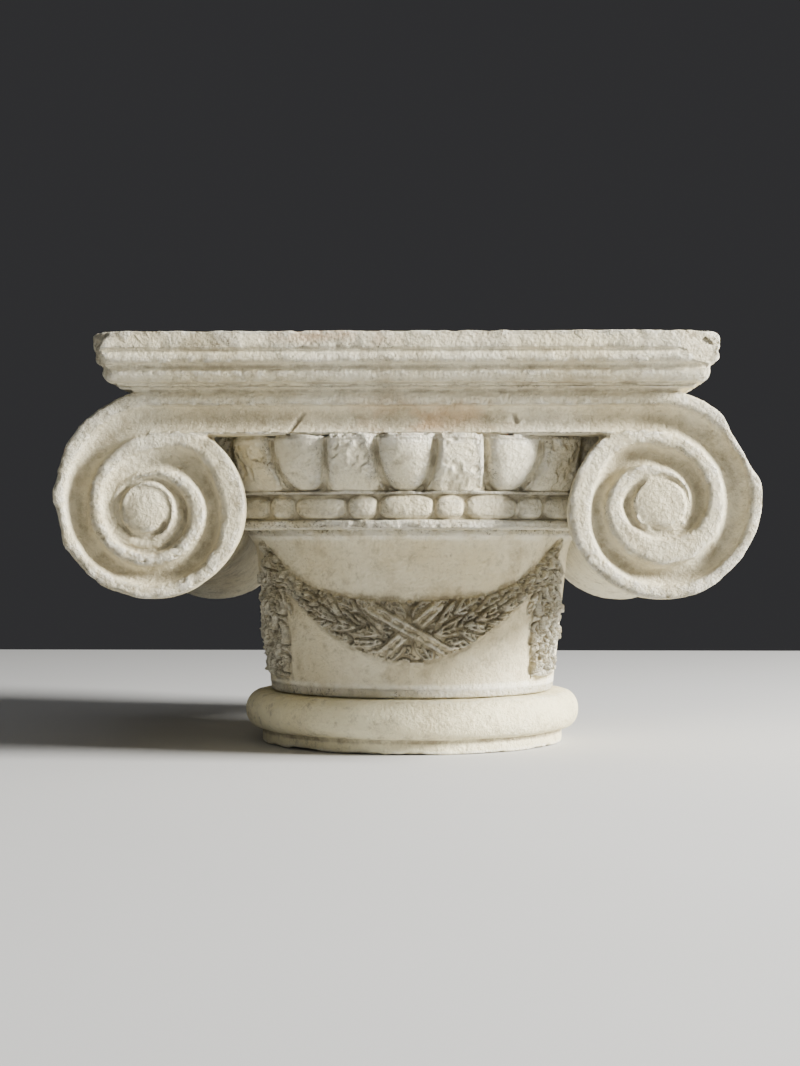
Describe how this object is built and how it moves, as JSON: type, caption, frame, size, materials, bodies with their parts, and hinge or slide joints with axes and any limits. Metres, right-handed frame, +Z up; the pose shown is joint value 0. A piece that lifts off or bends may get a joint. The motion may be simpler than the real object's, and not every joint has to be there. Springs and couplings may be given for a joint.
{
  "type": "ionic capital",
  "caption": "Small marble ionic capital with scrolled volutes, an egg-and-dart and bead-and-reel echinus and a garlanded neck, standing on a turned base moulding.",
  "frame": {"origin": "centre of the flat underside of the base moulding", "axes": "+Z up, the front with its carved garland faces -Y, +X to the right seen from the front, along the line of the two volutes"},
  "size_m": [0.3392, 0.297, 0.2075],
  "materials": {
    "marble": "carved white marble, weathered and coarse-grained, with worn bright edges and grey-brown dirt in the carving",
    "cream_marble": "turned cream marble, smoother than the capital, lightly stained"
  },
  "bodies": {
    "root": {"capital": "marble", "base_moulding": "cream_marble"}
  },
  "joints": []
}
